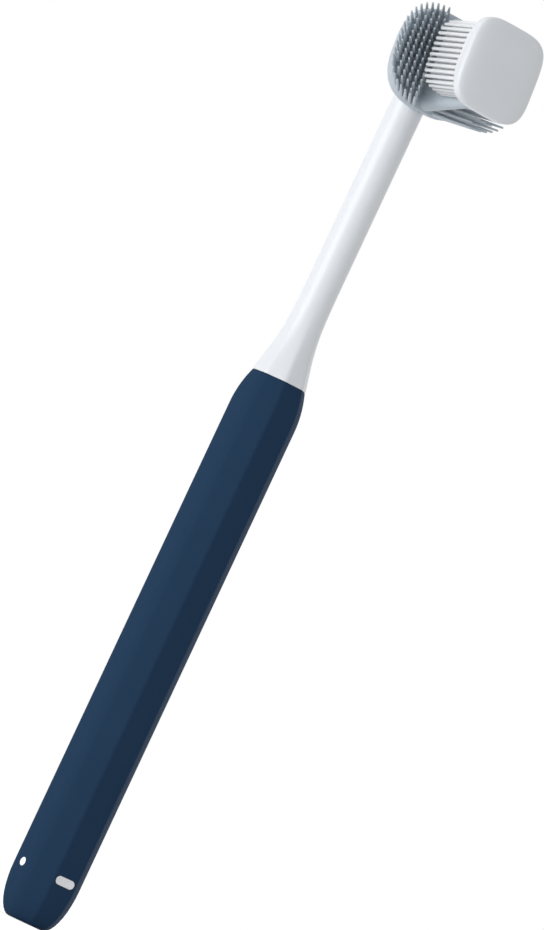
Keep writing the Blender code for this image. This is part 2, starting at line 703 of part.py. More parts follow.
paddle_back = PADDLE_FACE + PADDLE_THICKNESS
web_core_steps = [(x, WEB_CORE_HALF_THICKNESS) for x in (wall_middle, PADDLE_FACE + WEB_ROOT)]
web_core = web_plate(web_core_steps, -WEB_END_SKIN - GAP)
web_core = add_object("web_core", web_core, parent=head_axes)
paddle_steps = [(PADDLE_FACE, PADDLE_EDGE_ROUNDING), (PADDLE_FACE + PADDLE_EDGE_ROUNDING, 0.0)]
for climb in (0.0, 0.48, 0.78, 0.94, 1.0):
    inset = CROWN_WIDTH * (1 - (1 - climb**CROWN_POWER) ** (1 / CROWN_POWER))
    paddle_steps.append((paddle_back - CROWN_HEIGHT * (1 - climb), inset))
paddle = plate(PADDLE_HALF_HEIGHT, PADDLE_HALF_LENGTH, PADDLE_POWER, 0.0, paddle_steps)
paddle = add_object("paddle", paddle, parent=head_axes)
join(neck_and_frame, wall_core, web_core, paddle)

# Soft overmould: a grey cover on the wall's back and rim, and the web's skin
pad_back = wall_back - GAP - WALL_SKIN
pad_steps = []
for angle in (0.0, math.pi / 4, math.pi / 2):
    from_back = PAD_ROUNDING * (1 - math.cos(angle))
    pad_steps.append((pad_back + from_back, PAD_ROUNDING * (1 - math.sin(angle))))
pad_steps.append((WALL_FACE, 0.0))
pad = plate(WALL_HALF_HEIGHT, WALL_HALF_LENGTH, WALL_POWER, 0.0, pad_steps)
soft_overmould = add_object("soft_overmould", pad, grey_rubber, head_axes)
web_skin_steps = [(x, web_half_thickness(x)) for x in (wall_middle, PADDLE_FACE - GAP)]
web_skin = add_object("web_skin", web_plate(web_skin_steps, 0.0), parent=head_axes)
join(soft_overmould, web_skin)
wall_room = plate(
    WALL_HALF_HEIGHT - PAD_SIDE,
    WALL_HALF_LENGTH - PAD_SIDE,
    WALL_POWER,
    0.0,
    ((wall_back - GAP, 0.0), (WALL_FACE + GAP, 0.0)),
)
wall_room = add_object("wall_room", wall_room, parent=head_axes)
web_room_steps = [(x, WEB_CORE_HALF_THICKNESS + GAP) for x in (wall_middle, PADDLE_FACE + GAP)]
web_room = web_plate(web_room_steps, -WEB_END_SKIN)
web_room = add_object("web_room", web_room, parent=head_axes)
spine_room_rings = [circle(NECK_RADIUS + GAP, neck_top - WALL_SKIN, RING_POINTS)]
for rise, radius, shift in SPINE_RINGS:
    ring = circle(radius + GAP, neck_top + rise, RING_POINTS)
    spine_room_rings.append([(x + shift, y, z) for x, y, z in ring])
spine_room = add_object("spine_room", loft(spine_room_rings))
cut(soft_overmould, wall_room, web_room, spine_room)


def strand_bed(side, face, drop, inner_edge, outline, columns, pitch, strand):
    """One side's strands on a slice of their backing, made from a grid of cells.

    The cells fill half of a rounded square beyond the web. Each cell is inset to the strand's
    foot, and the foot is extruded to its tip. Then the slice's rim is drawn out to the outline.
    """
    centre, half_height, half_length, power = outline
    foot, tip, reach = strand
    column_width = (half_height - inner_edge) / columns
    rows = int(half_length / pitch) + 1
    shape = bmesh.new()
    corners = {}

    def corner(i, j):
        if (i, j) not in corners:
            y = side * (inner_edge + i * column_width)
            corners[i, j] = shape.verts.new((face, y, centre + j * pitch))
        return corners[i, j]

    cells = []
    inset = (pitch - foot) / 2
    for i in range(columns):
        outer_y = inner_edge + (i + 1) * column_width - inset
        for j in range(-rows, rows):
            outer_z = abs(j + 0.5) * pitch + foot / 2
            angle = math.atan2(outer_z, outer_y)
            room = outline_reach(angle, half_height, half_length, power) - STRAND_TO_RIM
            if math.hypot(outer_y, outer_z) > room:
                continue
            ring = (corner(i, j), corner(i + 1, j), corner(i + 1, j + 1), corner(i, j + 1))
            cells.append(shape.faces.new(ring))
    shape.normal_update()
    bmesh.ops.inset_individual(shape, faces=cells, thickness=inset, use_even_offset=True)
    raised = bmesh.ops.extrude_discrete_faces(shape, faces=cells)["faces"]
    for top in raised:
        middle = top.calc_center_median()
        for vert in top.verts:
            vert.co = middle + (vert.co - middle) * tip / foot + Vector(reach)
    rim = [edge for edge in shape.edges if edge.is_boundary]
    for vert in {vert for edge in rim for vert in edge.verts}:
        if abs(vert.co.y) < inner_edge + column_width / 2:
            continue
        angle = math.atan2(vert.co.z - centre, abs(vert.co.y))
        out = outline_reach(angle, half_height, half_length, power)
        vert.co.y = side * out * math.cos(angle)
        vert.co.z = centre + out * math.sin(angle)
    dropped = bmesh.ops.extrude_edge_only(shape, edges=rim)["geom"]
    bottom = [item for item in dropped if isinstance(item, bmesh.types.BMVert)]
    bmesh.ops.translate(shape, vec=(drop, 0.0, 0.0), verts=bottom)
    loop = [edge for edge in shape.edges if edge.is_boundary]
    bmesh.ops.contextual_create(shape, geom=loop)
    bmesh.ops.recalc_face_normals(shape, faces=shape.faces)
    return shape


# Spikes and bristles, a bed of each on both sides of the web
spike_face = WALL_FACE + GAP + SLAB_THICKNESS
spike_inner_edge = web_half_thickness(WALL_FACE) + GAP
spike_outline = (0.0, WALL_HALF_HEIGHT, WALL_HALF_LENGTH, WALL_POWER)
bristle_face = PADDLE_FACE - GAP - SLAB_THICKNESS
bristle_inner_edge = web_half_thickness(bristle_face - BRISTLE_LENGTH) + GAP
bristle_top = PADDLE_HALF_LENGTH - BRISTLES_FROM_PADDLE_END
bristle_bottom = BRISTLES_FROM_PADDLE_FOOT - PADDLE_HALF_LENGTH
bristle_outline = (
    (bristle_top + bristle_bottom) / 2,
    PADDLE_HALF_HEIGHT - BRISTLE_EDGE,
    (bristle_top - bristle_bottom) / 2,
    BRISTLE_POWER,
)
for side, name in ((-1, "front"), (1, "rear")):
    spike_reach = Vector((math.cos(SPIKE_LEAN), side * math.sin(SPIKE_LEAN), 0.0)) * SPIKE_LENGTH
    spikes = strand_bed(
        side,
        spike_face,
        -SLAB_THICKNESS,
        spike_inner_edge,
        spike_outline,
        SPIKE_COLUMNS,
        SPIKE_PITCH,
        (SPIKE_BASE, SPIKE_TIP, spike_reach),
    )
    add_object(f"gum_spikes_{name}", spikes, spike_rubber, head_axes)
    bristles = strand_bed(
        side,
        bristle_face,
        SLAB_THICKNESS,
        bristle_inner_edge,
        bristle_outline,
        BRISTLE_COLUMNS,
        BRISTLE_PITCH,
        (BRISTLE_BASE, BRISTLE_TIP, (-BRISTLE_LENGTH, 0.0, 0.0)),
    )
    add_object(f"cheek_bristles_{name}", bristles, white_bristle, head_axes)
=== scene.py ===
"""Electric toothbrush with a two sided head, dressed for the photograph's view.

Metres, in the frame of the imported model: +Z from the base end along the handle to the brush head,
+X through the power button's facet, and the status light on the -Y facet.
"""

import math

import bmesh
import bpy
from mathutils import Matrix, Vector


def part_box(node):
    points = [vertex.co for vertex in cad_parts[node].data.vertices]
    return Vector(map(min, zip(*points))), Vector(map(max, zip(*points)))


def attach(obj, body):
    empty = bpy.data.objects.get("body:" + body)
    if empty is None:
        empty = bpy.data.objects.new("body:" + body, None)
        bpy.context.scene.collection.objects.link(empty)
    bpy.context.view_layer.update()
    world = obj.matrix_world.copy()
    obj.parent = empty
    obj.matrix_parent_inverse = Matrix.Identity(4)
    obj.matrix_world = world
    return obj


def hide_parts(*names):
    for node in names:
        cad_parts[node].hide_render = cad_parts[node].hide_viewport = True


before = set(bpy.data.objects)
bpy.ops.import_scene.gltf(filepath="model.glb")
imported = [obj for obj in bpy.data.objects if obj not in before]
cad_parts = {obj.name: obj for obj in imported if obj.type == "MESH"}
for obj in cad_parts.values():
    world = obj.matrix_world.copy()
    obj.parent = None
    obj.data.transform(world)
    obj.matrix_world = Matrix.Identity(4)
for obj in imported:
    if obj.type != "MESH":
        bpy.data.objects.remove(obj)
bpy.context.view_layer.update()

# Camera: the brush fills the frame from its lower left to its upper right corner, seen from the
# side on which the light and the button are. The lens is long, because the photograph shows
# parallel edges of the brush as parallel.
VIEW_AZIMUTH = math.radians(-34.80)
VIEW_ELEVATION = math.radians(-2.87)
VIEW_ROLL = math.radians(25.107)
VIEW_DISTANCE = 2.0
VIEW_TARGET = Vector((0.004038, 0.005809, 0.124775))
VIEW_CLIP = 100.0
SENSOR_WIDTH = 36.0
PHOTO_HEIGHT_IN_PIXELS = 930
PIXELS_PER_METRE = 4155.0

view_back = Vector((
    math.cos(VIEW_AZIMUTH) * math.cos(VIEW_ELEVATION),
    math.sin(VIEW_AZIMUTH) * math.cos(VIEW_ELEVATION),
    math.sin(VIEW_ELEVATION),
))
view_side = Vector((-math.sin(VIEW_AZIMUTH), math.cos(VIEW_AZIMUTH), 0.0))
view_along = view_back.cross(view_side)
view_right = math.cos(VIEW_ROLL) * view_side + math.sin(VIEW_ROLL) * view_along
view_up = math.cos(VIEW_ROLL) * view_along - math.sin(VIEW_ROLL) * view_side
camera_data = bpy.data.cameras.new("camera")
camera_data.sensor_width = SENSOR_WIDTH
camera_data.lens = PIXELS_PER_METRE * VIEW_DISTANCE * SENSOR_WIDTH / PHOTO_HEIGHT_IN_PIXELS
camera_data.clip_end = VIEW_CLIP
camera = bpy.data.objects.new("camera", camera_data)
bpy.context.scene.collection.objects.link(camera)
camera_turn = Matrix((view_right, view_up, view_back)).transposed().to_4x4()
camera.matrix_world = Matrix.Translation(VIEW_TARGET + view_back * VIEW_DISTANCE) @ camera_turn
bpy.context.scene.camera = camera
bpy.context.scene.view_settings.view_transform = "Standard"

# Studio: a white room. The camera and mirror-like surfaces see it as plain white, and a little
# less of its light falls on the brush, so that pale plastic keeps its shape.
ROOM_WHITE = "ffffff"
ROOM_LIGHT = 0.51


def linear(hex_colour):
    """An sRGB hex colour as the linear colour that a shader takes."""
    channels = []
    for place in (0, 2, 4):
        value = int(hex_colour[place:place + 2], 16) / 255
        channels.append(value / 12.92 if value <= 0.04045 else ((value + 0.055) / 1.055) ** 2.4)
    return (*channels, 1.0)


def add_node(tree, kind, settings=None, links=None, **attributes):
    """Adds a node with its socket values, its incoming links and its own settings."""
    node = tree.nodes.new(kind)
    for name, value in attributes.items():
        setattr(node, name, value)
    for socket, value in (settings or {}).items():
        node.inputs[socket].default_value = value
    for socket, source in (links or {}).items():
        tree.links.new(source, node.inputs[socket])
    return node


def shown_plainly(tree):
    """1 for the rays that show the background: the camera's, glossy ones and see-through ones."""
    rays = add_node(tree, "ShaderNodeLightPath").outputs
    either = add_node(tree, "ShaderNodeMath", operation="MAXIMUM",
                      links={0: rays["Is Camera Ray"], 1: rays["Is Glossy Ray"]})
    return add_node(tree, "ShaderNodeMath", operation="MAXIMUM",
                    links={0: either.outputs[0], 1: rays["Is Transmission Ray"]}).outputs[0]


world = bpy.data.worlds.new("white_room")
bpy.context.scene.world = world
world.use_nodes = True
room = world.node_tree
room.nodes.clear()
strength = add_node(room, "ShaderNodeMapRange", {"To Min": ROOM_LIGHT, "To Max": 1.0},
                    {"Value": shown_plainly(room)})
background = add_node(room, "ShaderNodeBackground", {"Color": linear(ROOM_WHITE)},
                      {"Strength": strength.outputs[0]})
add_node(room, "ShaderNodeOutputWorld", links={"Surface": background.outputs[0]})

# Floor: matt white card under the base end. The camera sees it as lit white, less the brush's own
# soft shadow.
FLOOR_SIZE = 6.0
FLOOR_WHITE = "fdfdfd"
FLOOR_ROUGHNESS = 0.9
FLOOR_LIFT = 0.48

floor_shape = bmesh.new()
bmesh.ops.create_grid(floor_shape, x_segments=1, y_segments=1, size=FLOOR_SIZE / 2)
floor_mesh = bpy.data.meshes.new("floor")
floor_shape.to_mesh(floor_mesh)
floor_shape.free()
floor = bpy.data.objects.new("floor", floor_mesh)
bpy.context.scene.collection.objects.link(floor)
card = bpy.data.materials.new("matt_white_card")
card.use_nodes = True
card_shader = card.node_tree.nodes["Principled BSDF"].inputs
card_shader["Base Color"].default_value = linear(FLOOR_WHITE)
card_shader["Roughness"].default_value = FLOOR_ROUGHNESS
card_shader["Emission Color"].default_value = linear(ROOM_WHITE)
lift = add_node(card.node_tree, "ShaderNodeMath", {1: FLOOR_LIFT},
                {0: shown_plainly(card.node_tree)}, operation="MULTIPLY")
card.node_tree.links.new(lift.outputs[0], card_shader["Emission Strength"])
floor_mesh.materials.append(card)

# Lamp: one large soft box to the left of the brush and level with it, which brightens its left
# facets and leaves the right ones to the room.
LAMP_NEARER = 0.80
LAMP_LEFT = 1.02
LAMP_HIGHER = 0.12
LAMP_SIZE = 1.0
LAMP_WATTS = 10.5

lamp_data = bpy.data.lights.new("soft_box", "AREA")
lamp_data.shape = "DISK"
lamp_data.size = LAMP_SIZE
lamp_data.energy = LAMP_WATTS
lamp = bpy.data.objects.new("soft_box", lamp_data)
bpy.context.scene.collection.objects.link(lamp)
lamp_place = view_back * LAMP_NEARER - view_side * LAMP_LEFT + view_along * LAMP_HIGHER
lamp_turn = lamp_place.to_track_quat("Z", "Y").to_matrix().to_4x4()
lamp.matrix_world = Matrix.Translation(VIEW_TARGET + lamp_place) @ lamp_turn

# Handle shell: one ABS moulding, an octagonal tube with soft corners, closed at the base end. The
# corner beside the light is the softest. The light's and the button's holes are moulded in, and
# everything inside goes in through the mouth.
HANDLE_LENGTH = 0.1438
HANDLE_RADIUS = 0.00890
BASE_FLAT_RADIUS = 0.00455
BASE_SHOULDER = 0.0120
BASE_SHARES = (0.0, 0.015, 0.05, 0.11, 0.19, 0.29, 0.41, 0.55, 0.70, 0.85, 1.0)
SEAM_RADIUS = 0.0072
TOP_SHOULDER = 0.0095
TOP_SHARES = (0.0, 0.15, 0.3, 0.45, 0.58, 0.7, 0.8, 0.9, 1.0)
FACETS = 8
CORNER_SOFTNESS = 0.00040
CORNER_STEPS = 5
LIGHT_CORNER_SOFTNESS = 0.00160
LIGHT_CORNER_STEPS = 8
MOUTH_EDGE = 0.00010
BORE_RADIUS = 0.00615
BORE_FLOOR = 0.0020
BORE_FLOOR_RADIUS = 0.0046
BORE_TAPER_END = 0.0075
BORE_STEPS = 48
CONTROL_HEIGHT = 0.0128
LENS_HEIGHT = 0.0132
LENS_HOLE_DEPTH = 0.006
LENS_STEPS = 40
RIM_STEPS = 4
KEY_HALF_LENGTH = 0.0028
KEY_HALF_HEIGHT = 0.0011
KEY_STEPS = 48
KEY_HOLE_ROOT = BORE_RADIUS * 0.7
HOLE_FIT = 0.00008
CUT_MARGIN = 0.001
MERGE_DISTANCE = 1e-7
LENGTH_TOLERANCE = 1e-6
ANGLE_TOLERANCE = 0.01
NAVY = "243c57"
NAVY_MOTTLE = "273f5a"
TEXTURE_GRAIN = 0.00030
MOTTLE_SIZE = 0.009
SHINE_SPREAD = 0.04
GRAIN_STRENGTH = 0.5

HALF_FACET = math.pi / FACETS
light_corner_angle = -3 * HALF_FACET
handle_flat = HANDLE_RADIUS * math.cos(HALF_FACET)


def spun(profile, steps):
    """A closed solid from a line of (radius, z) points, spun a full turn about Z."""
    shape = bmesh.new()
    verts = [shape.verts.new((radius, 0.0, z)) for radius, z in profile]
    edges = [shape.edges.new(pair) for pair in zip(verts, verts[1:])]
    turn = Matrix.Rotation(math.pi / steps, 3, "Z")
    bmesh.ops.rotate(shape, cent=(0, 0, 0), matrix=turn, verts=verts)
    bmesh.ops.spin(shape, geom=verts + edges, cent=(0, 0, 0), axis=(0, 0, 1), angle=math.tau,
                   steps=steps, use_merge=True)
    bmesh.ops.remove_doubles(shape, verts=shape.verts, dist=MERGE_DISTANCE)
    bmesh.ops.recalc_face_normals(shape, faces=shape.faces)
    return shape


def as_object(name, shape):
    """Puts a finished bmesh in the scene."""
    mesh = bpy.data.meshes.new(name)
    shape.to_mesh(mesh)
    shape.free()
    thing = bpy.data.objects.new(name, mesh)
    bpy.context.scene.collection.objects.link(thing)
    return thing


def combine(target, operation, *tools):
    """Joins tools to the target or cuts them from it, and leaves one plain mesh."""
    for tool in tools:
        step = target.modifiers.new(tool.name, "BOOLEAN")
        step.operation = operation
        step.solver = "EXACT"
        step.object = tool
    shown = target.evaluated_get(bpy.context.evaluated_depsgraph_get())
    mesh = bpy.data.meshes.new_from_object(shown)
    target.modifiers.clear()
    target.data = mesh
    for tool in tools:
        bpy.data.objects.remove(tool)


def fit_piece(piece, material, body, slot, *replaced, sharp=35.0):
    """Shades a piece, gives it its material and body, and lets it stand for its CAD nodes."""
    piece.data.shade_smooth()
    piece.data.set_sharp_from_angle(angle=math.radians(sharp))
    piece.data.materials.clear()
    piece.data.materials.append(material)
    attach(piece, body)
    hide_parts(*replaced)


def soften(shape, edges, width, steps):
    """Rounds edges of a bmesh."""
    bmesh.ops.bevel(shape, geom=edges, offset=width, offset_type="OFFSET", segments=steps,
                    profile=0.5, affect="EDGES", material=-1)


def corner_edges(shape, beside_light):
    """The shell's long edges: the one at the corner beside the light, or the other seven."""
    long_edges = [edge for edge in shape.edges
                  if abs(edge.verts[0].co.z - edge.verts[1].co.z) > LENGTH_TOLERANCE
                  and min(vert.co.xy.length for vert in edge.verts) > BASE_FLAT_RADIUS / 2]
    return [edge for edge in long_edges
            if beside_light == all(abs(math.atan2(vert.co.y, vert.co.x) - light_corner_angle)
                                   < ANGLE_TOLERANCE for vert in edge.verts)]


def oblong(half_length, half_height, low, high, rim=0.0):
    """A pill shaped key across X, long in Y. A rim above zero rounds its outer edge."""
    shape = bmesh.new()
    bmesh.ops.create_circle(shape, segments=KEY_STEPS, radius=half_height, cap_ends=True)
    for vert in shape.verts:
        vert.co.y += math.copysign(half_length - half_height, vert.co.y)
    bmesh.ops.rotate(shape, cent=(0, 0, 0), matrix=Matrix.Rotation(math.pi / 2, 3, "Y"),
                     verts=shape.verts)
    bmesh.ops.translate(shape, vec=(low, 0.0, CONTROL_HEIGHT), verts=shape.verts)
    top = bmesh.ops.extrude_face_region(shape, geom=list(shape.faces))["geom"]
    top_verts = [item for item in top if isinstance(item, bmesh.types.BMVert)]
    bmesh.ops.translate(shape, vec=(high - low, 0.0, 0.0), verts=top_verts)
    if rim:
        rim_edges = [edge for edge in shape.edges if all(v in top_verts for v in edge.verts)]
        soften(shape, rim_edges, rim, RIM_STEPS)
    bmesh.ops.recalc_face_normals(shape, faces=shape.faces)
    return shape


def finish_surface(tree, colours, patches, grain, shine_range, relief, settings):
    """Mixes two colours by one pattern, and varies the shine and the relief by another."""
    colour = add_node(tree, "ShaderNodeMix", {6: linear(colours[0]), 7: linear(colours[1])},
                      {0: patches}, data_type="RGBA")
    shine = add_node(tree, "ShaderNodeMapRange",
                     {"To Min": shine_range[0], "To Max": shine_range[1]}, {"Value": grain})
    bump = add_node(tree, "ShaderNodeBump", {"Strength": relief[0], "Distance": relief[1]},
                    {"Height": grain})
    shader = tree.nodes["Principled BSDF"]
    for socket, value in settings.items():
        shader.inputs[socket].default_value = value
    tree.links.new(colour.outputs[2], shader.inputs["Base Color"])
    tree.links.new(shine.outputs[0], shader.inputs["Roughness"])
    tree.links.new(bump.outputs[0], shader.inputs["Normal"])


def moulded(name, colour, mottle, roughness, relief, settings=None):
    """A moulded finish: two close colours in soft patches, over the fine grain of the tool."""
    material = bpy.data.materials.new(name)
    material.use_nodes = True
    tree = material.node_tree
    place = add_node(tree, "ShaderNodeTexCoord").outputs["Object"]
    patches = add_node(tree, "ShaderNodeTexNoise", {"Scale": 1 / MOTTLE_SIZE, "Detail": 3.0},
                       {"Vector": place}).outputs["Fac"]
    grain = add_node(tree, "ShaderNodeTexNoise", {"Scale": 1 / TEXTURE_GRAIN, "Detail": 2.0},
                     {"Vector": place}).outputs["Fac"]
    finish_surface(tree, (colour, mottle), patches, grain,
                   (roughness - SHINE_SPREAD, roughness + SHINE_SPREAD),
                   (GRAIN_STRENGTH, relief), settings or {})
    return material


corner_line = [(0.0, 0.0)]
for share in BASE_SHARES:
    bulge = math.sqrt(1 - (1 - share) ** 2)
    corner_line.append((BASE_FLAT_RADIUS + (HANDLE_RADIUS - BASE_FLAT_RADIUS) * bulge,
                        BASE_SHOULDER * share))
for share in TOP_SHARES:
    corner_line.append((HANDLE_RADIUS - (HANDLE_RADIUS - SEAM_RADIUS) * share**2,
                        HANDLE_LENGTH - MOUTH_EDGE - (TOP_SHOULDER - MOUTH_EDGE) * (1 - share)))
corner_line += [(SEAM_RADIUS - MOUTH_EDGE, HANDLE_LENGTH), (0.0, HANDLE_LENGTH)]
shell = spun(corner_line, FACETS)
soften(shell, corner_edges(shell, False), CORNER_SOFTNESS, CORNER_STEPS)
soften(shell, corner_edges(shell, True), LIGHT_CORNER_SOFTNESS, LIGHT_CORNER_STEPS)
bmesh.ops.recalc_face_normals(shell, faces=shell.faces)
handle_shell = as_object("handle_shell_moulding", shell)
bore_line = [(0.0, BORE_FLOOR), (BORE_FLOOR_RADIUS, BORE_FLOOR), (BORE_RADIUS, BORE_TAPER_END),
             (BORE_RADIUS, HANDLE_LENGTH + CUT_MARGIN), (0.0, HANDLE_LENGTH + CUT_MARGIN)]
bore = as_object("bore", spun(bore_line, BORE_STEPS))

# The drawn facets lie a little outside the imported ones, and the lens and the key follow them.
facet_step = handle_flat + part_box("handle_shell")[0][0]
lens_low, lens_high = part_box("status_light_lens")
lens_radius = (lens_high[0] - lens_low[0]) / 2
lens_hole = bmesh.new()
bmesh.ops.create_cone(lens_hole, cap_ends=True, segments=LENS_STEPS,
                      radius1=lens_radius + HOLE_FIT, radius2=lens_radius + HOLE_FIT,
                      depth=LENS_HOLE_DEPTH,
                      matrix=Matrix.Translation((0.0, -handle_flat, LENS_HEIGHT))
                      @ Matrix.Rotation(math.pi / 2, 4, "X"))
key_hole = oblong(KEY_HALF_LENGTH + HOLE_FIT, KEY_HALF_HEIGHT + HOLE_FIT, KEY_HOLE_ROOT,
                  HANDLE_RADIUS + CUT_MARGIN)
combine(handle_shell, "DIFFERENCE", bore, as_object("lens_hole", lens_hole),
        as_object("key_hole", key_hole))

# ABS, moulded in a lightly sparked tool: dark navy with a soft, broad shine. The grain is drawn
# coarser than the real one, which is too fine for the picture.
navy_abs = moulded("moulded_navy_abs", NAVY, NAVY_MOTTLE, 0.55, 0.000004,
                   {"Specular IOR Level": 0.02})
fit_piece(handle_shell, navy_abs, "handle", "navy_plastic", "handle_shell")

# Status light's lens: a plug of milky polycarbonate, pressed into its hole until it lies flush
# with the facet, with the light behind it.
LENS_RIM = 0.0001
LENS_RIM_STEPS = 3

lens = bmesh.new()
lens_depth = lens_high[1] - lens_low[1]
bmesh.ops.create_cone(lens, cap_ends=True, segments=LENS_STEPS, radius1=lens_radius,
                      radius2=lens_radius, depth=lens_depth)
bmesh.ops.rotate(lens, cent=(0, 0, 0), matrix=Matrix.Rotation(math.pi / 2, 3, "X"),
                 verts=lens.verts)
bmesh.ops.translate(lens, vec=(0.0, (lens_low[1] + lens_high[1]) / 2 - facet_step, LENS_HEIGHT),
                    verts=lens.verts)
outer_rim = [edge for edge in lens.edges
             if all(vert.co.y < lens_low[1] - facet_step + LENGTH_TOLERANCE
                    for vert in edge.verts)]
soften(lens, outer_rim, LENS_RIM, LENS_RIM_STEPS)
lens_piece = as_object("status_light_plug", lens)

# Milky polycarbonate: bright white and smooth, with a painted glow: a weak emission of its own makes
# the lens look lit a little from behind.
lens_with_painted_glow = moulded("milky_polycarbonate_painted_glow", "fbfcff", "f6f9ff", 0.22, 0.000001,
                     {"Emission Color": linear("f4f8ff"), "Emission Strength": 0.25})
fit_piece(lens_piece, lens_with_painted_glow, "handle", "light_lens", "status_light_lens")

# Power button: a pill shaped ABS key that is pushed out through its hole from inside. A flange
# behind the facet holds it, and its face is dished for the fingertip.
FLANGE_LIP = 0.0005
FLANGE_THICKNESS = 0.0005
DISH_INSET = 0.00035
DISH_DEPTH = 0.00012
KEY_RIM = 0.00012

key_low, key_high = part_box("power_button")
key = oblong(KEY_HALF_LENGTH, KEY_HALF_HEIGHT, key_low[0] + FLANGE_THICKNESS / 2,
             key_high[0] + facet_step, rim=KEY_RIM)
face = max(key.faces, key=lambda item: item.calc_center_median().x)
bmesh.ops.inset_region(key, faces=[face], thickness=DISH_INSET, use_even_offset=True)
bmesh.ops.translate(key, vec=(-DISH_DEPTH, 0.0, 0.0), verts=face.verts)
power_key = as_object("power_button_key", key)
flange = as_object("key_flange", oblong(KEY_HALF_LENGTH + FLANGE_LIP, KEY_HALF_HEIGHT + FLANGE_LIP,
                                        key_low[0], key_low[0] + FLANGE_THICKNESS))
combine(power_key, "UNION", flange)

# White ABS, moulded against a polished tool: a cool white with a clear soft shine.
white_abs = moulded("polished_white_abs", "fafbff", "f6f8fd", 0.30, 0.000002)
fit_piece(power_key, white_abs, "power_button", "white_plastic", "power_button")

# Coupling post: an acetal plug in the handle's mouth, whose eight sided key stops the head from
# turning, with the round post that the neck slides on and a groove for its grip ring.
PLUG_CHAMFER = 0.0004
PLUG_EDGE = 0.0001
SEAL_GROOVE_DEPTH = 0.0006
KEY_RADIUS = 0.0049
KEY_RISE = 0.0030
KEY_CHAMFER = 0.0003
POST_RADIUS = 0.00275
POST_ROUNDING = 0.0006
POST_ROUNDING_MIDDLE = 0.00018
GRIP_GROOVE_DEPTH = 0.00035
RING_GAP = 0.0003
RING_POINTS = 64
CORNER_HARDNESS = 110.0


def round_ring(radius, z, shift=0.0):
    """Places a ring's points on a level circle."""
    return lambda angle: (radius * math.cos(angle) + shift, radius * math.sin(angle), z)


def faceted_ring(radius, z, roundness=0.0):
    """Places a ring's points on eight flats with soft corners, blended towards a circle."""
    def place(angle):
        flats = sum(max(0.0, math.cos(angle - side * math.tau / FACETS)) ** CORNER_HARDNESS
                    for side in range(FACETS)) ** (-1 / CORNER_HARDNESS)
        reach = radius * (roundness + (1 - roundness) * math.cos(HALF_FACET) * flats)
        return (reach * math.cos(angle), reach * math.sin(angle), z)
    return place


def ringed(places, points=RING_POINTS):
    """A closed solid: a circle is extruded from ring to ring, and capped at both ends."""
    shape = bmesh.new()
    start = bmesh.ops.create_circle(shape, segments=points, radius=1.0)["verts"]
    angles = {vert: math.atan2(vert.co.y, vert.co.x) for vert in start}
    loops = [list(shape.edges)]
    for number, place in enumerate(places):
        if number:
            grown = bmesh.ops.extrude_edge_only(shape, edges=loops[-1])["geom"]
            fresh = {item for item in grown if isinstance(item, bmesh.types.BMVert)}
            lower = angles
            angles = {vert: next(lower[edge.other_vert(vert)] for edge in vert.link_edges
                                 if edge.other_vert(vert) in lower) for vert in fresh}
            loops.append([edge for vert in fresh for edge in vert.link_edges
                          if edge.other_vert(vert) in fresh and edge.verts[0] == vert])
        for vert, angle in angles.items():
            vert.co = place(angle)
    bmesh.ops.contextual_create(shape, geom=loops[0])
    bmesh.ops.contextual_create(shape, geom=loops[-1])
    bmesh.ops.recalc_face_normals(shape, faces=shape.faces)
    return shape


post_low, post_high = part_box("coupling_post")
seal_low, seal_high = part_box("handle_seal_ring")
grip_low, grip_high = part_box("post_grip_ring")
plug_radius = BORE_RADIUS - RING_GAP
seal_groove = plug_radius - SEAL_GROOVE_DEPTH - RING_GAP
grip_groove = POST_RADIUS - GRIP_GROOVE_DEPTH - RING_GAP
key_top = HANDLE_LENGTH + KEY_RISE
post_places = [
    round_ring(plug_radius - PLUG_CHAMFER, post_low[2]),
    round_ring(plug_radius, post_low[2] + PLUG_CHAMFER),
    round_ring(plug_radius, seal_low[2] - RING_GAP),
    round_ring(seal_groove, seal_low[2] - RING_GAP),
    round_ring(seal_groove, seal_high[2] + RING_GAP),
    round_ring(plug_radius, seal_high[2] + RING_GAP),
    round_ring(plug_radius, HANDLE_LENGTH - PLUG_EDGE),
    round_ring(plug_radius - PLUG_EDGE, HANDLE_LENGTH),
    faceted_ring(KEY_RADIUS, HANDLE_LENGTH),
    faceted_ring(KEY_RADIUS, key_top - KEY_CHAMFER),
    faceted_ring(KEY_RADIUS - KEY_CHAMFER, key_top),
    round_ring(POST_RADIUS, key_top),
    round_ring(POST_RADIUS, grip_low[2] - RING_GAP),
    round_ring(grip_groove, grip_low[2] - RING_GAP),
    round_ring(grip_groove, grip_high[2] + RING_GAP),
    round_ring(POST_RADIUS, grip_high[2] + RING_GAP),
    round_ring(POST_RADIUS, post_high[2] - POST_ROUNDING),
    round_ring(POST_RADIUS - POST_ROUNDING_MIDDLE, post_high[2] - POST_ROUNDING_MIDDLE),
    round_ring(POST_RADIUS - POST_ROUNDING, post_high[2]),
]
post = as_object("coupling_post_moulding", ringed(post_places))

# Acetal: a natural, slightly warm white with a waxy shine.
white_acetal = moulded("natural_white_acetal", "e6e5df", "e1e0d9", 0.36, 0.000002)
fit_piece(post, white_acetal, "handle", "white_plastic", "coupling_post", sharp=30.0)

# Grip ring: a ring of nitrile rubber, moulded in one and stretched over the post's tip. It sits in
# the post's groove and grips the inside of the neck.
RING_EDGE = 0.0001
RING_SHOULDER = 0.0003

grip_inner = grip_groove + RING_GAP
grip_outer = grip_high[0]
ring_line = [
    (grip_inner, grip_low[2] + RING_EDGE),
    (grip_outer - RING_EDGE, grip_low[2]),
    (grip_outer, grip_low[2] + RING_SHOULDER),
    (grip_outer, grip_high[2] - RING_SHOULDER),
    (grip_outer - RING_EDGE, grip_high[2]),
    (grip_inner, grip_high[2] - RING_EDGE),
]
ring = spun(ring_line + ring_line[:1], RING_POINTS)
grip_ring = as_object("post_grip_ring_nitrile", ring)

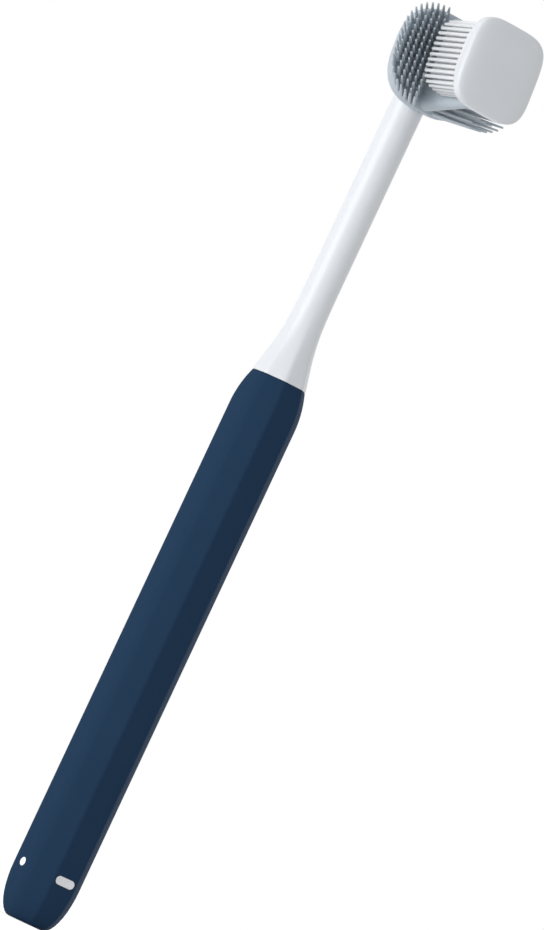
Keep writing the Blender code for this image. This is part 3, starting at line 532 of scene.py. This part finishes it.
# Nitrile rubber: near black and matt, with the dusty bloom that rubber gets.
nitrile = moulded("black_nitrile_rubber", "1b1b1c", "242425", 0.68, 0.000006,
                  {"Specular IOR Level": 0.35})
fit_piece(grip_ring, nitrile, "handle", "black_rubber", "post_grip_ring")

# Seals in the handle: the ring in the coupling plug's groove, the soft sheet that keeps water
# out behind the button, and the sleeve that the motor sits in, all of rubber.
def finish_node(material, *names):
    """Gives CAD nodes that stay in the scene their finish."""
    for name in names:
        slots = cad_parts[name].data.materials
        slots.clear()
        slots.append(material)


finish_node(nitrile, "handle_seal_ring", "motor_sleeve", "button_seal")

# Status light: a white light emitting diode, cast in a body of milky epoxy and soldered to the
# board, right behind its lens.
epoxy_body = moulded("milky_epoxy_body", "f1efe2", "ebe8d6", 0.30, 0.000001)
finish_node(epoxy_body, "status_light")

# Chassis: a half pipe of glass filled nylon with bulkheads, which carries the board, the cell and
# the motor, and slides into the handle as one. The motor's end cap is of the same nylon.
filled_nylon = moulded("grey_filled_nylon", "6f7173", "787b7d", 0.55, 0.000010)
finish_node(filled_nylon, "chassis", "motor_end_cap")

# Chips and the switch's plunger: the chips are moulded in black epoxy and soldered to the board,
# and the plunger is a pin of black nylon that slides in the switch. All are finely sparked.
black_epoxy = moulded("black_moulded_epoxy", "19191b", "202022", 0.58, 0.000008)
finish_node(black_epoxy, "control_chip", "charge_chip", "switch_plunger")

# Motor, screws and switch: the can is drawn from nickel plated steel, with its lines running
# along it. The shaft is ground, the screws are rolled and the switch's frame is stamped.
LINE_STRENGTH = 0.4
LINE_RELIEF = 0.000004
METAL_SHINE_SPREAD = 0.08


def metal_finish(name, colour, dull, roughness, line_size, stretch):
    """A metal with fine lines: noise that is drawn out along an axis with a small scale."""
    material = bpy.data.materials.new(name)
    material.use_nodes = True
    tree = material.node_tree
    place = add_node(tree, "ShaderNodeTexCoord").outputs["Object"]
    drawn = add_node(tree, "ShaderNodeMapping", {"Scale": stretch}, {"Vector": place})
    lines = add_node(tree, "ShaderNodeTexNoise", {"Scale": 1 / line_size, "Detail": 4.0},
                     {"Vector": drawn.outputs[0]}).outputs["Fac"]
    finish_surface(tree, (colour, dull), lines, lines,
                   (roughness - METAL_SHINE_SPREAD, roughness + METAL_SHINE_SPREAD),
                   (LINE_STRENGTH, LINE_RELIEF), {"Metallic": 1.0})
    return material


drawn_steel = metal_finish("drawn_steel", "c4c5c7", "a9abae", 0.30, 0.0004, (1.0, 1.0, 0.08))
finish_node(drawn_steel, "motor_can", "motor_shaft", "board_screw_1", "board_screw_2",
            "switch_body")

# Eccentric weight and the cell's tabs: a weight of pressed tungsten alloy with a nickel plating,
# and tabs of rolled nickel strip, both with a slightly yellow grey shine.
rolled_nickel = metal_finish("rolled_nickel", "c9c3b4", "b1aa99", 0.36, 0.0003, (0.15, 1.0, 1.0))
finish_node(rolled_nickel, "eccentric_weight", "battery_tab_minus", "battery_tab_plus")

# Charging coil: enamelled copper wire wound round the core. One wire is 0.25 mm thick, and its
# turns show as fine ridges round the axis.
WIRE_THICKNESS = 0.00025
WIRE_RELIEF = WIRE_THICKNESS / 3
# At a scale of 1 the wave texture's bands lie tau / 20 apart.
WAVE_BANDS = 20

wound_copper = metal_finish("enamelled_copper_wire", "c8733c", "a85a2b", 0.34, 0.0010,
                            (1.0, 1.0, 1.0))
wire_tree = wound_copper.node_tree
wire_place = add_node(wire_tree, "ShaderNodeTexCoord").outputs["Object"]
turns = add_node(wire_tree, "ShaderNodeTexWave",
                 {"Scale": math.tau / (WAVE_BANDS * WIRE_THICKNESS)}, {"Vector": wire_place},
                 bands_direction="Z")
ridges = add_node(wire_tree, "ShaderNodeBump", {"Strength": 0.8, "Distance": WIRE_RELIEF},
                  {"Height": turns.outputs["Fac"]})
wire_tree.links.new(ridges.outputs[0], wire_tree.nodes["Principled BSDF"].inputs["Normal"])
finish_node(wound_copper, "charging_coil")

# Coil core: a short round rod of ferrite powder, pressed and sintered, which sits inside the coil.
# It is dark grey, matt and slightly grainy.
sintered_ferrite = moulded("sintered_ferrite", "3b3b3d", "464648", 0.62, 0.000012)
finish_node(sintered_ferrite, "ferrite_core")

# Circuit board: glass epoxy under a green solder mask, screwed to the chassis. The copper tracks
# under the mask show as lighter bands, 0.8 mm apart.
TRACK_PITCH = 0.0008
MASK_GREEN = "0d4a2a"
TRACK_GREEN = "1c6b3d"
TRACK_EDGE = (0.55, 0.65)

solder_mask = moulded("green_solder_mask", MASK_GREEN, "115432", 0.38, 0.000006)
mask_tree = solder_mask.node_tree
mask_place = add_node(mask_tree, "ShaderNodeTexCoord").outputs["Object"]
tracks = add_node(mask_tree, "ShaderNodeTexWave",
                  {"Scale": math.tau / (WAVE_BANDS * TRACK_PITCH), "Distortion": 1.5, "Detail": 1.0},
                  {"Vector": mask_place}, bands_direction="Y")
bands = add_node(mask_tree, "ShaderNodeValToRGB", links={"Fac": tracks.outputs["Fac"]})
for band, place, colour in zip(bands.color_ramp.elements, TRACK_EDGE, (MASK_GREEN, TRACK_GREEN)):
    band.position = place
    band.color = linear(colour)
mask_tree.links.new(bands.outputs["Color"],
                    mask_tree.nodes["Principled BSDF"].inputs["Base Color"])
finish_node(solder_mask, "circuit_board")

# Battery cell: a drawn metal can in a blue sleeve of glossy film, which is shrunk on with heat and
# held by the chassis.
shrink_sleeve = moulded("blue_shrink_sleeve", "2c6da3", "29659a", 0.26, 0.000010,
                        {"Coat Weight": 0.4, "Coat Roughness": 0.12})
finish_node(shrink_sleeve, "battery_cell")

# Neck and head frame: one polypropylene moulding. The neck flares from the handle's octagon to a
# round rod, which runs up behind the wall as a spine. The wall's core, the web's core and the
# crowned paddle are moulded on. The grey cover is moulded over it.
NECK_BOTTOM = 0.1439
NECK_TOP = 0.2166
NECK_RADIUS = 0.00420
FLARE_LENGTH = 0.0260
FLARE_POWER = 3.4
FLARE_START = 1.25
FLARE_STEPS = 21
FLARE_CROWDING = 1.3
FLATS_END = 0.0186
SEAM_EDGE = 0.00010
EDGE_MIDDLE = 0.3
# Each ring of the spine: its height over the neck's top, its radius and its shift in X.
SPINE_RINGS = ((0.0012, 0.00420, 0.0), (0.0021, 0.00422, 0.00033), (0.0030, 0.00421, 0.0006),
               (0.0045, 0.00409, 0.0006), (0.0060, 0.00390, 0.0006), (0.0073, 0.00363, 0.0007),
               (0.0085, 0.00330, 0.0008), (0.0095, 0.00288, 0.0010), (0.0104, 0.00240, 0.0014),
               (0.0111, 0.00175, 0.0019), (0.0115, 0.00100, 0.0024))
HEAD_HEIGHT = 0.2285
HEAD_TILT = math.radians(6.7)
WALL_HALF_HEIGHT = 0.0135
WALL_HALF_LENGTH = 0.0124
WALL_POWER = 2.8
WALL_FACE = 0.0043
CORE_BACK = 0.0033
CORE_INSET = 0.0011
WEB_CORE_HALF = 0.0007
WEB_SKIN_AT_WALL = 0.0016
WEB_SKIN_AT_PADDLE = 0.0004
WEB_END_SKIN = 0.0007
WEB_LENGTH_AT_WALL = 0.0121
WEB_LENGTH_AT_PADDLE = 0.0095
WEB_ROOT = 0.0010
PADDLE_FACE = 0.0272
PADDLE_BACK = 0.0306
PADDLE_HALF_HEIGHT = 0.01105
PADDLE_HALF_LENGTH = 0.0114
PADDLE_POWER = 4.0
PADDLE_EDGE = 0.0004
CROWN_HEIGHT = 0.0015
CROWN_WIDTH = 0.0075
CROWN_POWER = 2.5
CROWN_STEPS = 14
CROWN_ROUNDING = 1.2
OUTLINE_POINTS = 96
COVER_GAP = 0.0003

head_axes = Matrix.Translation((0.0, 0.0, HEAD_HEIGHT)) @ Matrix.Rotation(-HEAD_TILT, 4, "Y")


def outline_reach(angle, half_height, half_length, power):
    """How far a rounded square reaches from its centre, the angle counted from Y to Z."""
    across = abs(math.cos(angle) / half_height) ** power
    along = abs(math.sin(angle) / half_length) ** power
    return (across + along) ** (-1 / power)


def plate_ring(x, half_height, half_length, power, centre=0.0):
    """Places a ring's points on a rounded square across the head's X axis."""
    def place(angle):
        reach = outline_reach(angle, half_height, half_length, power)
        return (x, reach * math.cos(angle), centre + reach * math.sin(angle))
    return place


def wall_ring(x, inset):
    """Places a ring's points on the wall's outline, drawn in by an inset."""
    return plate_ring(x, WALL_HALF_HEIGHT - inset, WALL_HALF_LENGTH - inset, WALL_POWER)


def web_ring(x, half_thickness, margin):
    """Places a ring's points on the web's section, which has round ends and draws in outwards."""
    share = (x - WALL_FACE) / (PADDLE_FACE - WALL_FACE)
    length = WEB_LENGTH_AT_WALL + share * (WEB_LENGTH_AT_PADDLE - WEB_LENGTH_AT_WALL) + margin

    def place(angle):
        end = math.copysign(length - half_thickness, math.sin(angle))
        return (x, half_thickness * math.cos(angle), end + half_thickness * math.sin(angle))
    return place


def web_half_thickness(x):
    """Half the covered web's thickness."""
    share = (x - WALL_FACE) / (PADDLE_FACE - WALL_FACE)
    skin = WEB_SKIN_AT_WALL + share * (WEB_SKIN_AT_PADDLE - WEB_SKIN_AT_WALL)
    return WEB_CORE_HALF + COVER_GAP + skin


def head_solid(name, places, points=OUTLINE_POINTS):
    """A ringed solid that is built in the head's own tilted axes."""
    shape = ringed(places, points)
    bmesh.ops.transform(shape, matrix=head_axes, verts=shape.verts)
    return as_object(name, shape)


socket_radius = grip_outer + RING_GAP
recess = KEY_RADIUS + RING_GAP
neck_places = [
    round_ring(socket_radius, post_high[2] + RING_GAP),
    round_ring(socket_radius, key_top + RING_GAP),
    faceted_ring(recess, key_top + RING_GAP),
    faceted_ring(recess, NECK_BOTTOM),
    faceted_ring(SEAM_RADIUS - SEAM_EDGE, NECK_BOTTOM),
    faceted_ring(SEAM_RADIUS - EDGE_MIDDLE * SEAM_EDGE, NECK_BOTTOM + EDGE_MIDDLE * SEAM_EDGE),
]
for step in range(FLARE_STEPS + 1):
    rise = SEAM_EDGE + (FLARE_LENGTH - SEAM_EDGE) * (step / FLARE_STEPS) ** FLARE_CROWDING
    flare = (1 - (rise / FLARE_LENGTH) ** FLARE_START) ** FLARE_POWER
    radius = NECK_RADIUS + (SEAM_RADIUS - NECK_RADIUS) * flare
    neck_places.append(faceted_ring(radius, NECK_BOTTOM + rise, min(1.0, rise / FLATS_END)))
neck_places.append(round_ring(NECK_RADIUS, NECK_TOP))
neck_places += [round_ring(radius, NECK_TOP + rise, shift) for rise, radius, shift in SPINE_RINGS]
neck = as_object("neck_and_head_frame", ringed(neck_places))
wall_core = head_solid("wall_core", [wall_ring(x, CORE_INSET) for x in (CORE_BACK, WALL_FACE)])
core_middle = (CORE_BACK + WALL_FACE) / 2
web_core = head_solid("web_core", [
    web_ring(x, WEB_CORE_HALF, -WEB_END_SKIN - COVER_GAP)
    for x in (core_middle, PADDLE_FACE + WEB_ROOT)], RING_POINTS)
paddle_places = []
edge_middle = EDGE_MIDDLE * PADDLE_EDGE
for x, inset in ((0.0, PADDLE_EDGE), (edge_middle, edge_middle), (PADDLE_EDGE, 0.0)):
    paddle_places.append(plate_ring(PADDLE_FACE + x, PADDLE_HALF_HEIGHT - inset,
                                    PADDLE_HALF_LENGTH - inset, PADDLE_POWER))
for step in range(CROWN_STEPS + 1):
    climb = math.sin(step / CROWN_STEPS * math.pi / 2)
    inset = CROWN_WIDTH * (1 - (1 - climb**CROWN_POWER) ** (1 / CROWN_POWER))
    power = PADDLE_POWER - CROWN_ROUNDING * inset / CROWN_WIDTH
    paddle_places.append(plate_ring(PADDLE_BACK - CROWN_HEIGHT * (1 - climb),
                                    PADDLE_HALF_HEIGHT - inset, PADDLE_HALF_LENGTH - inset, power))
paddle = head_solid("paddle", paddle_places)
combine(neck, "UNION", wall_core, web_core, paddle)

# Polypropylene, moulded against a polished tool: a cool white with a soft shine.
white_polypropylene = moulded("polished_white_polypropylene", "eef2f6", "eaeef3", 0.34, 0.000002)
fit_piece(neck, white_polypropylene, "brush_head", "white_plastic", "neck_and_frame", sharp=40.0)

# Soft cover: light grey elastomer moulded over the wall's back and rim and over the web, so that
# no hard edge meets the gums. Its lip frames the beds of spikes.
PAD_BACK = 0.0022
PAD_ROUNDING = 0.0012
PAD_STEPS = 6
PAD_SIDE = 0.0008
LIP_FRONT = 0.0054
LIP_WIDTH = 0.0006
LIP_ROUNDING = 0.00025
LIP_STEPS = 3
WEB_SKIN_PLACES = (0.010, 0.016, 0.022)
BED_BACK = 0.0046
ROOM_FRONT = 0.0060
ROOM_MARGIN = 0.0001
SPINE_ROOM_START = 0.0008

pad_places = []
for step in range(PAD_STEPS + 1):
    turn = step / PAD_STEPS * math.pi / 2
    pad_places.append(wall_ring(PAD_BACK + PAD_ROUNDING * (1 - math.cos(turn)),
                                PAD_ROUNDING * (1 - math.sin(turn))))
for step in range(LIP_STEPS + 1):
    turn = step / LIP_STEPS * math.pi / 2
    pad_places.append(wall_ring(LIP_FRONT - LIP_ROUNDING * (1 - math.sin(turn)),
                                LIP_ROUNDING * (1 - math.cos(turn))))
cover = head_solid("soft_elastomer_cover", pad_places)
web_skin = head_solid("web_skin", [
    web_ring(x, web_half_thickness(x), 0.0)
    for x in (core_middle, LIP_FRONT, *WEB_SKIN_PLACES, PADDLE_FACE - COVER_GAP)], RING_POINTS)
combine(cover, "UNION", web_skin)


def half_plate(side, inner, low, high, outline):
    """The part of a rounded square plate that lies beyond the web on one side."""
    shape = ringed([plate_ring(x, *outline) for x in (low, high)], OUTLINE_POINTS)
    bmesh.ops.bisect_plane(shape, geom=shape.verts[:] + shape.edges[:] + shape.faces[:],
                           plane_co=(0.0, side * inner, 0.0), plane_no=(0.0, -side, 0.0),
                           clear_outer=True)
    bmesh.ops.holes_fill(shape, edges=[edge for edge in shape.edges if edge.is_boundary])
    bmesh.ops.recalc_face_normals(shape, faces=shape.faces)
    return shape


bed_inner = web_half_thickness(WALL_FACE) + COVER_GAP
room_outline = (WALL_HALF_HEIGHT - LIP_WIDTH, WALL_HALF_LENGTH - LIP_WIDTH, WALL_POWER)
rooms = [head_solid("wall_room", [
    wall_ring(x, PAD_SIDE) for x in (CORE_BACK - COVER_GAP, BED_BACK)])]
for side in (-1, 1):
    bed_room = half_plate(side, bed_inner - ROOM_MARGIN, BED_BACK - ROOM_MARGIN, ROOM_FRONT,
                          room_outline)
    bmesh.ops.transform(bed_room, matrix=head_axes, verts=bed_room.verts)
    rooms.append(as_object("bed_room", bed_room))
rooms.append(head_solid("web_room", [
    web_ring(x, WEB_CORE_HALF + COVER_GAP, -WEB_END_SKIN)
    for x in (core_middle, PADDLE_FACE + COVER_GAP)], RING_POINTS))
spine_places = [round_ring(NECK_RADIUS + COVER_GAP, NECK_TOP - SPINE_ROOM_START)]
spine_places += [round_ring(radius + COVER_GAP, NECK_TOP + rise, shift)
                 for rise, radius, shift in SPINE_RINGS]
rooms.append(as_object("spine_room", ringed(spine_places)))
combine(cover, "DIFFERENCE", *rooms)

# Thermoplastic elastomer: light blue grey and soft to the touch, with a broad dull shine.
cover_elastomer = moulded("light_grey_elastomer", "c5cfd7", "bfcad3", 0.46, 0.000005,
                          {"Specular IOR Level": 0.4})
fit_piece(cover, cover_elastomer, "brush_head", "grey_rubber", "soft_overmould")

# Gum spikes: tapered elastomer spikes on a thin bed, one bed on each side of the web. They lean
# outwards, so that they reach under the gum line.
SPIKE_REACH = 0.0078
SPIKE_OUT = 0.00595
SPIKE_FAN = 0.09
SPIKE_UP = 0.0001
SPIKE_SPREAD = 0.03
SPIKE_INNER = 0.0033
# Half height, half length and power of the rounded square that the outer row of spikes follows.
SPIKE_OUTLINE = (0.0133, 0.0114, 2.9)
SPIKE_CENTRE = -0.0003
SPIKE_RING_PITCH = 0.00158
SPIKE_COLUMN_PITCH = 0.00175
SPIKE_ROW_PITCH = 0.00153
SPIKE_ROW_START = 0.00041
SPIKE_FOOT_RADIUS = 0.00052
SPIKE_TIP_RADIUS = 0.00025
SPIKE_TIP_ROUNDING = 0.00016
SPIKE_SINK = 0.0005
BED_GAP = 0.00005
STRAND_SIDES = 8
STRAND_TIP_STEPS = 2
STRAND_SPACING = 0.78
EDGE_STEPS = 720
TIP_TOLERANCE = 1e-5
SIDES = ((-1, "front"), (1, "rear"))


def bed_feet(inner, outline, centre, ring_pitch, column_pitch, row_pitch, row_start):
    """Where a bed's strands stand: one row that follows its edge, and straight columns inside."""
    edge = []
    for step in range(EDGE_STEPS + 1):
        angle = math.pi * (step / EDGE_STEPS - 0.5)
        reach = outline_reach(angle, *outline)
        if reach * math.cos(angle) >= inner:
            edge.append(Vector((reach * math.cos(angle), centre + reach * math.sin(angle))))
    lengths = [0.0]
    for low, high in zip(edge, edge[1:]):
        lengths.append(lengths[-1] + (high - low).length)
    count = round(lengths[-1] / ring_pitch)
    ring = []
    for number in range(count + 1):
        wanted = lengths[-1] * number / count
        ring.append(edge[min(range(len(edge)), key=lambda i: abs(lengths[i] - wanted))])
    columns = int(outline[0] / column_pitch) + 1
    rows = int(outline[1] / row_pitch) + 1
    inside = []
    for i in range(columns):
        for j in range(-rows, rows + 1):
            foot = Vector((inner + i * column_pitch, row_start + j * row_pitch))
            angle = math.atan2(foot.y - centre, foot.x)
            within = (foot - Vector((0.0, centre))).length < outline_reach(angle, *outline)
            nearest = min((foot - other).length for other in ring)
            if within and nearest > STRAND_SPACING * row_pitch:
                inside.append(foot)
    return ring + inside


def add_strand(shape, foot, along, length, foot_radius, tip_radius):
    """One tapered strand. It returns the edges of its flat tip."""
    turn = Vector((0, 0, 1)).rotation_difference(along).to_matrix().to_4x4()
    middle = Matrix.Translation(Vector(foot) + along * length / 2)
    verts = bmesh.ops.create_cone(shape, cap_ends=True, segments=STRAND_SIDES,
                                  radius1=foot_radius, radius2=tip_radius, depth=length,
                                  matrix=middle @ turn)["verts"]
    end = max((vert.co - Vector(foot)).dot(along) for vert in verts)
    tip = {vert for vert in verts if (vert.co - Vector(foot)).dot(along) > end - TIP_TOLERANCE}
    return [edge for vert in tip for edge in vert.link_edges
            if edge.other_vert(vert) in tip and edge.verts[0] == vert]


def head_bed(name, bed, tips, rounding):
    """Rounds the tips of a bed's strands and tilts the bed into the head's own axes."""
    soften(bed, tips, rounding, STRAND_TIP_STEPS)
    bmesh.ops.transform(bed, matrix=head_axes, verts=bed.verts)
    return as_object(name, bed)


bed_outline = (WALL_HALF_HEIGHT - LIP_WIDTH - BED_GAP, WALL_HALF_LENGTH - LIP_WIDTH - BED_GAP,
               WALL_POWER)
spike_beds = {}
for side, name in SIDES:
    bed = half_plate(side, bed_inner, BED_BACK, LIP_FRONT, bed_outline)
    tips = []
    for y, z in bed_feet(SPIKE_INNER, SPIKE_OUTLINE, SPIKE_CENTRE, SPIKE_RING_PITCH,
                         SPIKE_COLUMN_PITCH, SPIKE_ROW_PITCH, SPIKE_ROW_START):
        out = SPIKE_OUT + SPIKE_FAN * (y - SPIKE_INNER)
        lean = Vector((SPIKE_REACH, side * out, SPIKE_UP + SPIKE_SPREAD * z))
        foot = Vector((LIP_FRONT, side * y, z)) - lean.normalized() * SPIKE_SINK
        tips += add_strand(bed, foot, lean.normalized(), lean.length + SPIKE_SINK,
                           SPIKE_FOOT_RADIUS, SPIKE_TIP_RADIUS)
    spike_beds[name] = head_bed(f"gum_spikes_{name}_elastomer", bed, tips, SPIKE_TIP_ROUNDING)

# The same elastomer in nearly the same light grey. The bed looks darker than the cover does,
# because its spikes shade one another.
spike_elastomer = moulded("pale_grey_spike_elastomer", "cbd4db", "c5ced6", 0.44, 0.000004,
                          {"Specular IOR Level": 0.45})
for name, bed in spike_beds.items():
    fit_piece(bed, spike_elastomer, "brush_head", "spike_rubber", f"gum_spikes_{name}")

# Cheek bristles: straight thick nylon bristles set in the paddle, one bed on each side of the
# web, which point at the wall and sweep the outer side of the teeth.
BRISTLE_LENGTH = 0.0121
BRISTLE_PITCH = 0.00138
BRISTLE_COLUMN_PITCH = 0.00122
BRISTLE_START = 0.00295
BRISTLE_EDGE = (0.0101, 0.0088, 4.3)
BRISTLE_FOOT_RADIUS = 0.00050
BRISTLE_TIP_RADIUS = 0.00043
BRISTLE_TIP_ROUNDING = 0.0002
BRISTLE_SINK = 0.0002
BRISTLE_FACE = 0.0261
BRISTLE_BACK = 0.0271
BRISTLE_INNER = 0.00235
BRISTLE_CENTRE = 0.0005
BRISTLE_OUTLINE = (0.0106, 0.0092, 4.0)

bristle_beds = {}
toward_wall = Vector((-1.0, 0.0, 0.0))
for side, name in SIDES:
    bed = half_plate(side, BRISTLE_INNER, BRISTLE_FACE, BRISTLE_BACK,
                     (*BRISTLE_OUTLINE, BRISTLE_CENTRE))
    tips = []
    for y, z in bed_feet(BRISTLE_START, BRISTLE_EDGE, BRISTLE_CENTRE, BRISTLE_PITCH,
                         BRISTLE_COLUMN_PITCH, BRISTLE_PITCH, BRISTLE_CENTRE):
        foot = Vector((BRISTLE_FACE + BRISTLE_SINK, side * y, z))
        tips += add_strand(bed, foot, toward_wall, BRISTLE_LENGTH + BRISTLE_SINK,
                           BRISTLE_FOOT_RADIUS, BRISTLE_TIP_RADIUS)
    bristle_beds[name] = head_bed(f"cheek_bristles_{name}_nylon", bed, tips,
                                  BRISTLE_TIP_ROUNDING)

# Nylon: bright white, drawn smooth, with a silky shine along each bristle.
white_nylon = moulded("white_bristle_nylon", "f3f4f6", "eef0f3", 0.32, 0.000001)
for name, bed in bristle_beds.items():
    fit_piece(bed, white_nylon, "brush_head", "white_bristle", f"cheek_bristles_{name}")
